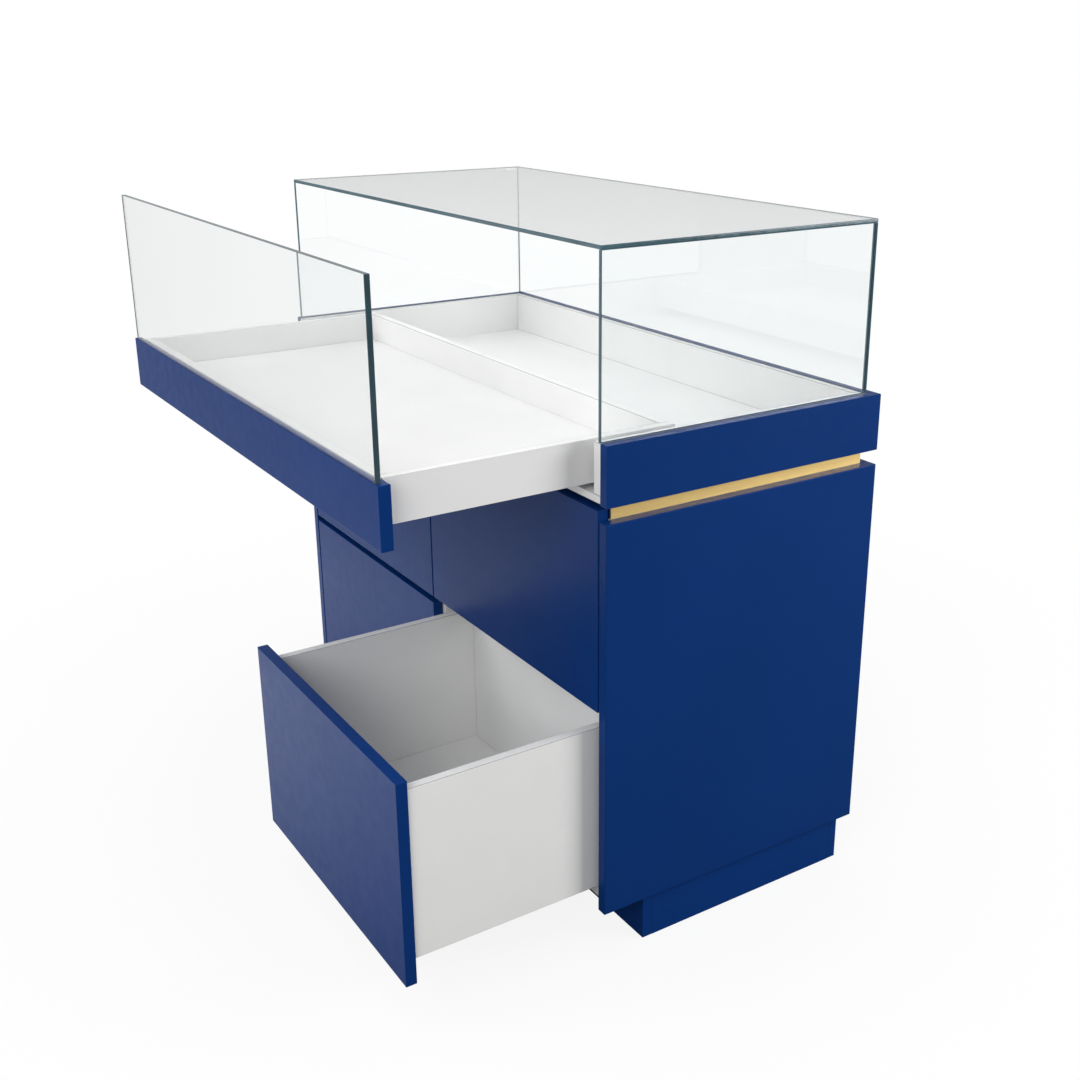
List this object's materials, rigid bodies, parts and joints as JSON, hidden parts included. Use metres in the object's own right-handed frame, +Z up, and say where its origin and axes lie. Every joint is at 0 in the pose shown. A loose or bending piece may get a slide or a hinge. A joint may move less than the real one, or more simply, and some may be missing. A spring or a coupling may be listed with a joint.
{
  "type": "checkout counter",
  "caption": "Blue lacquered checkout counter with a glass showcase, a full-width pull-out display tray, handleless drawers below and a recessed plinth.",
  "frame": {"origin": "on the floor, at the middle of the counter's footprint: half way across both end panels and half way through their depth", "axes": "+X along the counter, to the right as seen by the person who serves; -Y is the staff side with the drawers, +Y the customer side; +Z up"},
  "size_m": [1.1, 0.86, 1.124],
  "materials": {
    "blue_satin_lacquer": "satin blue lacquer on fibreboard",
    "blue_plinth_lacquer": "satin blue lacquer on fibreboard",
    "white_carcass_board": "smooth white melamine with white edging",
    "white_case_board": "smooth white melamine with white edging",
    "white_tray_board": "smooth white melamine with white edging",
    "white_drawer_board": "smooth white melamine with white edging",
    "brushed_gold_metal": "brushed gold",
    "case_glass": "clear polished float glass with blue-green edges",
    "tray_glass": "clear polished float glass with blue-green edges",
    "runner_steel": "zinc-plated sheet steel",
    "screw_steel": "zinc-plated steel"
  },
  "bodies": {
    "cabinet": {"plinth_rails": "blue_plinth_lacquer", "plinth_ends": "blue_plinth_lacquer", "plinth_brace": "blue_plinth_lacquer", "bottom_panel": "white_carcass_board", "left_end_panel": "blue_satin_lacquer", "right_end_panel": "blue_satin_lacquer", "customer_panel": "blue_satin_lacquer", "centre_divider": "white_carcass_board", "top_panel": "white_carcass_board", "spacer_ends": "blue_plinth_lacquer", "spacer_rails": "blue_plinth_lacquer", "end_trims": "brushed_gold_metal", "customer_trim": "brushed_gold_metal", "case_base": "white_case_board", "left_band": "blue_satin_lacquer", "right_band": "blue_satin_lacquer", "customer_band": "blue_satin_lacquer", "left_liner": "white_case_board", "right_liner": "white_case_board", "customer_liner": "white_case_board", "left_glass": "case_glass", "right_glass": "case_glass", "customer_glass": "case_glass", "top_glass": "case_glass", "tray_channels": "runner_steel", "drawer_channels": "runner_steel", "runner_screws": "screw_steel"},
    "display_tray": {"tray_front": "blue_satin_lacquer", "tray_pane": "tray_glass", "tray_floor": "white_tray_board", "tray_left_side": "white_tray_board", "tray_right_side": "white_tray_board", "tray_back": "white_tray_board", "tray_front_rim": "white_tray_board", "tray_sliders": "runner_steel"},
    "tray_carriers": {"tray_carriers": "runner_steel"},
    "lower_left_drawer": {"lower_left_front": "blue_satin_lacquer", "lower_left_sides": "white_drawer_board", "lower_left_back": "white_drawer_board", "lower_left_bottom": "white_drawer_board", "lower_left_sliders": "runner_steel"},
    "lower_left_carriers": {"lower_left_carriers": "runner_steel"},
    "lower_right_drawer": {"lower_right_front": "blue_satin_lacquer", "lower_right_sides": "white_drawer_board", "lower_right_back": "white_drawer_board", "lower_right_bottom": "white_drawer_board", "lower_right_sliders": "runner_steel"},
    "lower_right_carriers": {"lower_right_carriers": "runner_steel"},
    "upper_left_drawer": {"upper_left_front": "blue_satin_lacquer", "upper_left_sides": "white_drawer_board", "upper_left_back": "white_drawer_board", "upper_left_bottom": "white_drawer_board", "upper_left_sliders": "runner_steel"},
    "upper_left_carriers": {"upper_left_carriers": "runner_steel"},
    "upper_right_drawer": {"upper_right_front": "blue_satin_lacquer", "upper_right_sides": "white_drawer_board", "upper_right_back": "white_drawer_board", "upper_right_bottom": "white_drawer_board", "upper_right_sliders": "runner_steel"},
    "upper_right_carriers": {"upper_right_carriers": "runner_steel"}
  },
  "joints": [
    {"name": "display_tray_slide", "type": "slide", "parent": "cabinet", "child": "display_tray", "axis": [0, -1, 0], "range_m": [-0.317, 0.033]},
    {"name": "tray_carriers_slide", "type": "slide", "parent": "cabinet", "child": "tray_carriers", "axis": [0, -1, 0], "range_m": [-0.1585, 0.0165]},
    {"name": "lower_left_drawer_slide", "type": "slide", "parent": "cabinet", "child": "lower_left_drawer", "axis": [0, -1, 0], "range_m": [0, 0.35]},
    {"name": "lower_left_carriers_slide", "type": "slide", "parent": "cabinet", "child": "lower_left_carriers", "axis": [0, -1, 0], "range_m": [0, 0.175]},
    {"name": "lower_right_drawer_slide", "type": "slide", "parent": "cabinet", "child": "lower_right_drawer", "axis": [0, -1, 0], "range_m": [-0.332, 0.018]},
    {"name": "lower_right_carriers_slide", "type": "slide", "parent": "cabinet", "child": "lower_right_carriers", "axis": [0, -1, 0], "range_m": [-0.166, 0.009]},
    {"name": "upper_left_drawer_slide", "type": "slide", "parent": "cabinet", "child": "upper_left_drawer", "axis": [0, -1, 0], "range_m": [0, 0.35]},
    {"name": "upper_left_carriers_slide", "type": "slide", "parent": "cabinet", "child": "upper_left_carriers", "axis": [0, -1, 0], "range_m": [0, 0.175]},
    {"name": "upper_right_drawer_slide", "type": "slide", "parent": "cabinet", "child": "upper_right_drawer", "axis": [0, -1, 0], "range_m": [0, 0.35]},
    {"name": "upper_right_carriers_slide", "type": "slide", "parent": "cabinet", "child": "upper_right_carriers", "axis": [0, -1, 0], "range_m": [0, 0.175]}
  ],
  "couplings": [
    {"joint": "tray_carriers_slide", "follows": "display_tray_slide", "ratio": 0.5},
    {"joint": "lower_left_carriers_slide", "follows": "lower_left_drawer_slide", "ratio": 0.5},
    {"joint": "lower_right_carriers_slide", "follows": "lower_right_drawer_slide", "ratio": 0.5},
    {"joint": "upper_left_carriers_slide", "follows": "upper_left_drawer_slide", "ratio": 0.5},
    {"joint": "upper_right_carriers_slide", "follows": "upper_right_drawer_slide", "ratio": 0.5}
  ]
}
